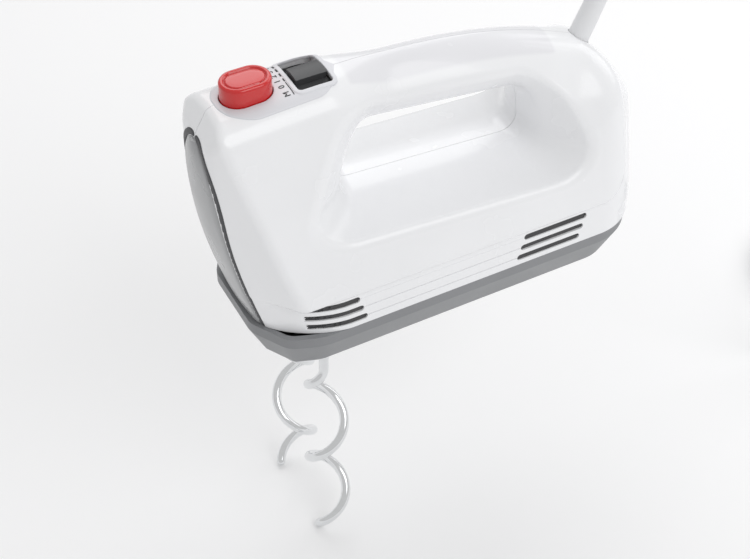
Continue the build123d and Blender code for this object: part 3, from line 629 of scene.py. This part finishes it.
def build_materials():
    """One finish for each material slot of the record."""
    return {
        "white_gloss": white_with_painted_grip_shade(),
        # panel_grey: the panel is the casing's white plastic; its grey colour is painted shade
        "panel_grey": plastic("panel_grey", (0.70, 0.705, 0.735), 0.36, grain=1400, grain_mm=0.006),
        "plate_grey": plastic("plate_grey", (0.36, 0.365, 0.372), 0.3,
                              coat=0.15, grain=1200, grain_mm=0.004, vary=0.03),
        "border_grey": plastic("border_grey", (0.055, 0.056, 0.06), 0.42, grain=1600, grain_mm=0.012),
        "tray_grey": plastic("tray_grey", (0.24, 0.245, 0.255), 0.46,
                             grain=1300, grain_mm=0.014, vary=0.05),
        "button_red": plastic("button_red", (0.60, 0.008, 0.008), 0.16,
                              coat=0.6, grain=500, grain_mm=0.001, vary=0.03),
        "slider_dark": plastic("slider_dark", (0.052, 0.053, 0.056), 0.36,
                               grain=1500, grain_mm=0.01, vary=0.08),
        "vent_dark": plastic("vent_dark", (0.05, 0.05, 0.053), 0.5, grain=1500, grain_mm=0.012, vary=0.1),
        "inner_plastic": plastic("inner_plastic", (0.62, 0.62, 0.60), 0.45,
                                 grain=900, grain_mm=0.01, vary=0.05),
        "gear_nylon": plastic("gear_nylon", (0.78, 0.76, 0.67), 0.38,
                              grain=700, grain_mm=0.006, vary=0.04),
        "steel": metal("steel", (0.60, 0.61, 0.62), 0.28, (1, 1, 14), 300),
        "hook_chrome": metal("hook_chrome", (0.80, 0.81, 0.82), 0.09, (1, 1, 6), 180, 0.0008, 0.03, 0.03),
        "screw_steel": metal("screw_steel", (0.55, 0.56, 0.57), 0.32, (1, 1, 1), 900, 0.004),
        "lamination": banded("lamination", (0.34, 0.35, 0.37), 0.42, 0.8, "X", 320, 0.3, 0.45, 0.03),
        "copper": banded("copper", (0.72, 0.36, 0.18), 0.3, 0.9, "Y", 250, 1.5, 0.5, 0.06),
        "bronze": metal("bronze", (0.58, 0.41, 0.22), 0.4, (1, 1, 1), 1200, 0.006),
        "carbon": plastic("carbon", (0.04, 0.04, 0.04), 0.6, grain=1400, grain_mm=0.02, vary=0.15),
        "board": plastic("board", (0.05, 0.20, 0.09), 0.4, coat=0.3, grain=600, grain_mm=0.004, vary=0.1),
        "cord_white": plastic("cord_white", (0.80, 0.805, 0.82), 0.38, grain=900, grain_mm=0.008),
        "wire_brown": plastic("wire_brown", (0.25, 0.12, 0.06), 0.4,
                              grain=900, grain_mm=0.006, vary=0.08),
        "tie_black": woven("tie_black", (0.03, 0.03, 0.032)),
        "pin_nickel": metal("pin_nickel", (0.72, 0.70, 0.66), 0.16, (1, 8, 1), 300, 0.001),
    }


MATERIALS = build_materials()


def dress(obj, slot, body, *nodes):
    """Gives a piece its finish and its body, and hides the CAD nodes it stands for."""
    obj.data.materials.clear()
    obj.data.materials.append(MATERIALS[slot])
    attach(obj, body)
    if nodes:
        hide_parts(*nodes)
    return obj


# ------------------------------------------------------------------ casing pieces
def slot_cutters(side):
    """Slots of one side, and the fine lines that join the front ones to the rear ones."""
    parts = []
    u, v = (1, 0, 0), (0, 0, 1)
    for row, z in enumerate(VENT_ROWS):
        front = (-56 + 1.6 * row, -27 + 1.6 * row)
        rear = (50 - 1.5 * row, 81 - 1.5 * row)
        for x0, x1 in (front, rear):
            middle = (x0 + x1) / 2
            ends = [(middle, side * y, z) for y in (33.0, 46.0)]
            parts.append(prism(obround(x1 - x0, SLOT_HEIGHT), *ends, u, v))
        line = rectangle(front[1] + 0.2, rear[0] - 0.2, -0.16, 0.16)
        parts.append(prism(line, (0, side * 38.2, z + 0.2), (0, side * 46.0, z + 0.2), u, v))
    return parts


def roof_cutters():
    """Button hole, slider window and cord hole."""
    x0, x1, y0, y1 = WINDOW
    gap = HOLE_GAP
    button = obround(BUTTON_LENGTH + 2 * gap, BUTTON_WIDTH + 2 * gap)
    window = rectangle(x0 - gap, x1 + gap, y0 - gap, y1 + gap)
    return [prism(button, (BUTTON_X, 0, 105), (BUTTON_X, 0, 135)),
            prism(window, (0, 0, 99), (0, 0, 135)),
            lathe([(4.95, -8), (4.95, 30)], EXIT, EXIT_DIRECTION)]


def screw_wells():
    """Deep round holes in the right shell, and the tubes round them."""
    holes, tubes = [], []
    for x, z in SHELL_SCREWS:
        holes.append(lathe([(WELL_R, 6), (WELL_R, 46)], (x, 0, z), (0, 1, 0), 32))
        ys = np.arange(6, 44, 0.1)
        solid = casing(np.full_like(ys, x), ys, np.full_like(ys, z)) < 0
        end = ys[solid].max() - 0.8
        ring = [(WELL_R, 10), (TUBE_R, 10), (TUBE_R, end), (WELL_R, end)]
        tubes.append(ring_solid(ring, (x, 0, z), (0, 1, 0)))
    return holes, tubes


def ring_solid(loop, centre, axis, segments=32):
    """A turned ring from a closed (radius, height) loop."""
    turn = Vector(axis).to_track_quat("Z", "Y").to_matrix()
    points, faces, n = [], [], len(loop)
    for i in range(segments):
        angle = 2 * pi * i / segments
        for radius, height in loop:
            place = turn @ Vector((radius * cos(angle), radius * sin(angle), height))
            points.append(tuple(place + Vector(centre)))
    for i in range(segments):
        j = (i + 1) % segments
        for k in range(n):
            m = (k + 1) % n
            faces.append([i * n + k, j * n + k, j * n + m, i * n + m])
    return points, faces


def build_shells():
    step = 0.9
    points, faces = net(half_wall, (-80, 119), (-43, 3), (13, 124), (step, step, step))
    left = mesh_object("left_shell_skin", points, faces, radians(60))
    mirrored = points * np.array([1, -1, 1])
    right = mesh_object("right_shell_skin", mirrored, [f[::-1] for f in faces], radians(60))
    for shell, y0, y1 in ((left, -SEAM_GAP, 8 - SEAM_GAP), (right, SEAM_GAP - 8, SEAM_GAP)):
        cut_with(shell, [prism(rectangle(-100, 140, y0, y1), (0, 0, 0), (0, 0, 140))])
        cut_with(shell, [prism(rectangle(-100, 140, -60, 60), (0, 0, 5), (0, 0, BELT_Z))])
    holes, tubes = screw_wells()
    cut_with(left, slot_cutters(-1) + roof_cutters())
    cut_with(right, slot_cutters(1) + roof_cutters() + holes)
    add_parts(right, tubes)
    dress(left, "white_gloss", "housing", "left_shell")
    dress(right, "white_gloss", "housing", "right_shell")


def add_parts(obj, parts):
    """Adds closed shapes to the object's mesh."""
    extra = mesh_object("extra", *joined(parts))
    bm = bmesh.new()
    bm.from_mesh(obj.data)
    bm.from_mesh(extra.data)
    bm.to_mesh(obj.data)
    bm.free()
    bpy.data.objects.remove(extra)
    obj.data.shade_smooth()
    obj.data.set_sharp_from_angle(angle=radians(38))


def build_inlays():
    """Nose plate, its dark border and the control panel."""
    fine = 0.45
    wide = fine * 1.4
    inlays = (
        ("nose_plate", "plate_grey", nose_plate_field, (-82, -58), (-23, 23), (19, 109), (fine, wide, wide)),
        ("nose_border", "border_grey", nose_border_field, (-80, -58), (-25, 25), (19, 112), (fine,) * 3),
        # the control panel's grey finish is painted shade on white plastic
        ("control_panel", "panel_grey", panel_field, (-69, -16), (-15, 15), (112.5, 122.5), (0.4, 0.4, 0.2)),
    )
    for node, slot, field, *grid in inlays:
        obj = mesh_object(f"{node}_skin", *net(field, *grid))
        dress(obj, slot, "housing", node)


def vent_field(x, y, z):
    """Louvred sheet that follows the casing just under its surface, behind a group of slots."""
    depth = casing_form(x, y, z) + VENT_DEPTH
    louvres = 0.22 * np.cos(2 * pi * (z - 21.0) / VENT_PITCH)
    return np.maximum(np.abs(depth + louvres) - 0.35, np.maximum(z - VENT_HIGH, VENT_LOW - z))


def vent_screens(side, name, node):
    """The dark louvred sheets behind the front and the rear slots."""
    parts = []
    for x0, x1 in ((-60.0, -21.5), (45.0, 83.5)):
        points, faces = net(vent_field, (x0, x1), (-42, -12), (20, 38), (1.0, 0.4, 0.22))
        turned = faces[:, ::-1] if side > 0 else faces
        parts.append((points * np.array([1, -side, 1]), turned.tolist()))
    obj = mesh_object(name, *joined(parts))
    return dress(obj, "vent_dark", "housing", node)


def build_button():
    """Obround cap: rounded rim, a ring groove and a flat, slightly domed top."""
    top = BUTTON_TOP
    profile = [(0.0, FLANGE_TOP), (0.0, top - 1.3), (0.1, top - 0.8), (0.4, top - 0.35), (0.9, top - 0.05),
               (1.5, top - 0.02), (1.8, top - 0.15), (1.95, top - 0.6), (2.25, top - 0.75), (2.5, top - 0.6),
               (2.65, top - 0.3), (3.0, top - 0.2), (5.0, top - 0.1)]
    flange = [(-1.6, FLANGE_LOW), (-1.6, FLANGE_TOP)]
    rings = []
    segments = 28
    for inset, z in flange + profile:
        for x, y in obround(BUTTON_LENGTH - 2 * inset, BUTTON_WIDTH - 2 * inset, segments):
            rings.append((BUTTON_X + x, y, z))
    faces = ring_faces(len(flange) + len(profile), 2 * (segments + 1))
    obj = mesh_object("eject_button_cap", rings, faces, radians(50))
    dress(obj, "button_red", "ejector", "eject_button")


def surface_z(x, y):
    """Height of the casing's top at x, y."""
    z = np.full_like(x, 125.0)
    for _ in range(30):
        z = z - casing_form(x, y, z) * 0.9
    return z


def lay_on_panel(obj, lift):
    """Sets a flat mesh in metres on the panel's skin."""
    co = np.array([v.co[:] for v in obj.data.vertices])
    z = surface_z(co[:, 0] / MM, co[:, 1] / MM) + lift
    co[:, 2] = z * MM
    obj.data.vertices.foreach_set("co", co.astype(np.float32).ravel())
    obj.data.update()


def build_marks():
    """Speed marks that read from the cord's side, and a bar that breaks into growing dashes."""
    black = plastic("mark_black", (0.012, 0.012, 0.013), 0.5, grain=900, grain_mm=0.003, vary=0.1)
    meshes = []
    for mark, y in (("M", -7.9), ("0", -3.4), ("1", 0.2), ("2", 3.6), ("3", 6.9), ("4", 10.0)):
        curve = bpy.data.curves.new("mark", "FONT")
        curve.body = mark
        curve.size = 3.4
        curve.align_x, curve.align_y = "CENTER", "CENTER"
        temp = bpy.data.objects.new("mark", curve)
        bpy.context.scene.collection.objects.link(temp)
        place = Matrix.Translation((MARK_X, y, 0)) @ Matrix.Rotation(pi / 2, 4, "Z")
        temp.matrix_world = Matrix.Scale(MM, 4) @ place
        bpy.context.view_layer.update()
        mesh = bpy.data.meshes.new_from_object(temp.evaluated_get(bpy.context.evaluated_depsgraph_get()))
        mesh.transform(temp.matrix_world)
        meshes.append(mesh)
        bpy.data.objects.remove(temp)
    bm = bmesh.new()
    for mesh in meshes:
        bm.from_mesh(mesh)
    dashes = [(-9.2, -1.6, 0.3), (-0.9, 0.9, 0.45), (2.6, 4.4, 0.6), (5.9, 7.7, 0.75), (9.0, 10.8, 0.9)]
    for y0, y1, thick in dashes:
        steps = max(2, int((y1 - y0) / 0.8))
        for i in range(steps):
            a, b = (y0 + (y1 - y0) * k / steps for k in (i, i + 1))
            corners = [(BAR_X, a), (BAR_X + thick, a), (BAR_X + thick, b), (BAR_X, b)]
            bm.faces.new([bm.verts.new((x * MM, y * MM, 0)) for x, y in corners])
    bmesh.ops.remove_doubles(bm, verts=bm.verts, dist=1e-6)
    bmesh.ops.triangulate(bm, faces=bm.faces)
    bmesh.ops.subdivide_edges(bm, edges=[e for e in bm.edges if e.calc_length() > 0.9 * MM], cuts=1)
    bmesh.ops.triangulate(bm, faces=bm.faces)
    out = bmesh.ops.extrude_face_region(bm, geom=bm.faces[:])
    mesh = bpy.data.meshes.new("speed_marks")
    bm.verts.index_update()
    raised = [v.index for v in out["geom"] if isinstance(v, bmesh.types.BMVert)]
    bm.to_mesh(mesh)
    bm.free()
    obj = bpy.data.objects.new("speed_marks", mesh)
    bpy.context.scene.collection.objects.link(obj)
    lay_on_panel(obj, 0.3)
    co = np.array([v.co[:] for v in mesh.vertices])
    co[raised, 2] += 0.13 * MM
    mesh.vertices.foreach_set("co", co.astype(np.float32).ravel())
    mesh.materials.append(black)
    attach(obj, "housing")


# ------------------------------------------------------------------ hooks
def build_hook(side, body, node):
    """Bent rod: a turned shank, then a helix that keeps its radius to a rounded tip."""
    x0, y0 = SPINDLE_X, side * SPINDLE_Y
    shank = ((26, 2.2), (25.2, SHANK_R), (-8, SHANK_R), (-9, 2.75), (-11, 2.2), (-14, ROD_R), (-18, ROD_R))
    route = [(x0, y0, z) for z, radius in shank]
    radii = [radius for z, radius in shank]
    count = 150
    for i in range(1, count + 1):
        z = HELIX_TOP + (HELIX_TIP - HELIX_TOP) * (i / count)
        angle = pi + side * 2 * pi * (-30.0 - z) / HELIX_PITCH
        reach = HELIX_REACH * float(ramp(np.array(HELIX_TOP - z), 0, 17))
        route.append((x0 + reach * cos(angle), y0 + reach * sin(angle), z))
        radii.append(ROD_R)
    last, before = Vector(route[-1]), Vector(route[-2])
    ahead = (last - before).normalized()
    for out, radius in ((0.7, 1.95), (1.3, 1.55), (1.75, 1.0), (1.95, 0.4)):
        place = last + ahead * out
        route.append((place.x, place.y, max(place.z, FLOOR_Z + 0.15)))
        radii.append(radius)
    obj = wire_mesh(f"{node}_rod", route, radii)
    lugs = [prism(rectangle(-4.5, 4.5, -0.65, 0.65), (x0, y0, -1.0), (x0, y0, 3.5)),
            prism(rectangle(-0.65, 0.65, -4.5, 4.5), (x0, y0, -1.0), (x0, y0, 3.5))]
    add_parts(obj, lugs)
    dress(obj, "hook_chrome", body, node)


# ------------------------------------------------------------------ cord
def coil_points():
    """Turns of the stored length, from the landing up to the plug's sleeve on top."""
    points = []
    cx, cy = COIL_CENTRE
    per_turn = 18
    count = round(COIL_TURNS * per_turn)
    for index in range(count + 1):
        turn = COIL_TURNS * index / count
        angle = -pi / 2 + 2 * pi * turn
        r = coil_radius(turn)
        points.append((cx + r * cos(angle), cy + r * sin(angle), coil_height(turn)))
    return points


def coil_radius(turn):
    """Outer turn, then inner, then outer on top."""
    return float(np.interp(turn, [0.85, 1.1, 1.75, 2.0], [COIL_OUTER, COIL_INNER, COIL_INNER, COIL_OUTER]))


def coil_height(turn):
    """Lower layer, upper layer, then the rise to the plug."""
    marks = [0, 1.7, 1.95, COIL_TURNS - 0.17, COIL_TURNS]
    return float(np.interp(turn, marks, [-122.0, -122.0, -115.5, -115.5, -108.0]))


def build_cord():
    x, y, z = PLUG_BASE
    middle = z + PLUG_HEIGHT / 2
    sleeve = [(x - 8, y + 1.2, middle), (x + 2, y, middle), (x + 12, y, middle)]
    points = list(ROUTE) + coil_points() + sleeve
    curve = bpy.data.curves.new("mains_cord_lead", "CURVE")
    curve.dimensions = "3D"
    spline = curve.splines.new("NURBS")
    spline.points.add(len(points) - 1)
    for point, place in zip(spline.points, points):
        point.co = (*(Vector(place) * MM), 1)
    spline.order_u = 3
    spline.use_endpoint_u = True
    spline.resolution_u = 8
    curve.bevel_depth = CORD_D / 2 * MM
    curve.bevel_resolution = 5
    curve.use_fill_caps = True
    obj = bpy.data.objects.new("mains_cord_lead", curve)
    bpy.context.scene.collection.objects.link(obj)
    dress(obj, "cord_white", "housing", "mains_cord", "cord_coil")
    return obj


def build_relief():
    """Tapered sleeve with grooves over its upper half."""
    profile = [(4.6, -7), (6.6, -6.9), (6.6, -5.0), (4.62, -4.8)]
    for i in range(80):
        along = -4.5 + i * (RELIEF_LENGTH + 4.5) / 79
        radius = 4.65 - 0.75 * max(0.0, along) / RELIEF_LENGTH
        wave = max(0.0, cos(2 * pi * (along - 24) / 3.6)) if 24 < along < 41 else 0.0
        profile.append((radius - 0.55 * wave ** 3, along))
    profile.append((3.45, RELIEF_LENGTH))
    obj = mesh_object("strain_relief_sleeve", *lathe(profile, EXIT, EXIT_DIRECTION), radians(35))
    return dress(obj, "cord_white", "housing", "strain_relief")


def plug_field(x, y, z):
    """Flat hand-sized body that narrows to the cord's sleeve."""
    x0, y0, base = PLUG_BASE
    along = x - x0
    wide = 4.0 + 9.0 * ramp(along, 14, 29)
    deep = 3.9 + 2.85 * ramp(along, 10, 26)
    grooved = ramp(along, 28, 29) - ramp(along, 43, 44)
    grooves = 0.35 * np.maximum(0, np.cos(2 * pi * along / 3.4)) ** 4 * grooved
    u = np.abs(y - y0) / (wide - grooves)
    v = np.abs(z - base - PLUG_HEIGHT / 2) / (deep - 0.05)
    power = 2 + 2.4 * ramp(along, 12, 30)
    body = ((u ** power + v ** power) ** (1 / power) - 1) * np.minimum(wide, deep)
    return meets(meets(body, along - PLUG_LENGTH, 1.6), -(along + 2.6), 0.8)


def build_plug():
    x, y, z = PLUG_BASE
    box = ((x - 4, x + PLUG_LENGTH + 2), (y - 15, y + 15), (z - 1, z + PLUG_HEIGHT + 1))
    points, faces = net(plug_field, *box, (0.6, 0.6, 0.6))
    obj = mesh_object("mains_plug_body", points, faces)
    return dress(obj, "cord_white", "housing", "mains_plug")


# ------------------------------------------------------------------ the rest of the CAD nodes
def dress_cad_nodes():
    """Every CAD node that stays shown gets its slot's finish."""
    slots = {row["node"]: row["material_slot"] for row in frame["record"]["subparts"]}
    for name, node in frame["nodes"].items():
        if node.hide_render:
            continue
        node.data.materials.clear()
        node.data.materials.append(MATERIALS[slots[name]])


# ------------------------------------------------------------------ stage
def build_stage():
    floor_mat, tree, shader = new_material("floor_pale", (0.93, 0.93, 0.935), 0.7)
    bump(tree, shader, noise(tree, 120), 0.02)
    mesh = bpy.data.meshes.new("floor")
    half = 3.0
    z = (FLOOR_Z - 0.3) * MM
    corners = [(-half, -half, z), (half, -half, z), (half, half, z), (-half, half, z)]
    mesh.from_pydata(corners, [], [(0, 1, 2, 3)])
    mesh.materials.append(floor_mat)
    floor = bpy.data.objects.new("floor", mesh)
    bpy.context.scene.collection.objects.link(floor)


def area_light(name, place, target, size, power):
    light = bpy.data.lights.new(name, "AREA")
    light.shape = "RECTANGLE"
    light.size, light.size_y = size
    light.energy = power
    obj = bpy.data.objects.new(name, light)
    obj.location = place
    obj.rotation_euler = (Vector(target) - Vector(place)).to_track_quat("-Z", "Y").to_euler()
    bpy.context.scene.collection.objects.link(obj)


def build_light():
    world = bpy.data.worlds.new("studio")
    world.use_nodes = True
    back = world.node_tree.nodes["Background"]
    back.inputs["Color"].default_value = (1.0, 1.0, 1.0, 1)
    back.inputs["Strength"].default_value = 0.64
    bpy.context.scene.world = world
    middle = (0.02, 0, 0.04)
    area_light("key", (0.35, -0.95, 1.0), middle, (1.0, 0.8), 5.0)
    area_light("top", (0.35, 0.75, 0.95), middle, (1.1, 0.9), 4.6)
    area_light("rim", (1.1, 0.1, 0.5), middle, (0.7, 0.7), 1.8)


def build_camera():
    camera = bpy.data.cameras.new("camera")
    camera.sensor_width = 36.0
    camera.lens = 72.0
    camera.clip_start, camera.clip_end = 0.05, 20
    obj = bpy.data.objects.new("camera", camera)
    back = Vector((-0.3377, -0.6351, 0.6947))
    obj.location = back * 0.655
    obj.rotation_euler = (-back).to_track_quat("-Z", "Y").to_euler()
    bpy.context.scene.collection.objects.link(obj)
    bpy.context.scene.camera = obj


def main():
    bpy.context.scene.view_settings.view_transform = "Standard"
    build_camera()
    build_light()
    build_stage()
    relief = build_relief()
    cord = build_cord()
    plug = build_plug()
    build_shells()
    build_inlays()
    vent_screens(-1, "left_vent_fins", "left_vent_screens")
    vent_screens(1, "right_vent_fins", "right_vent_screens")
    build_button()
    build_marks()
    build_hook(-1, "left_hook", "left_dough_hook")
    build_hook(1, "right_hook", "right_dough_hook")
    dress_cad_nodes()


main()
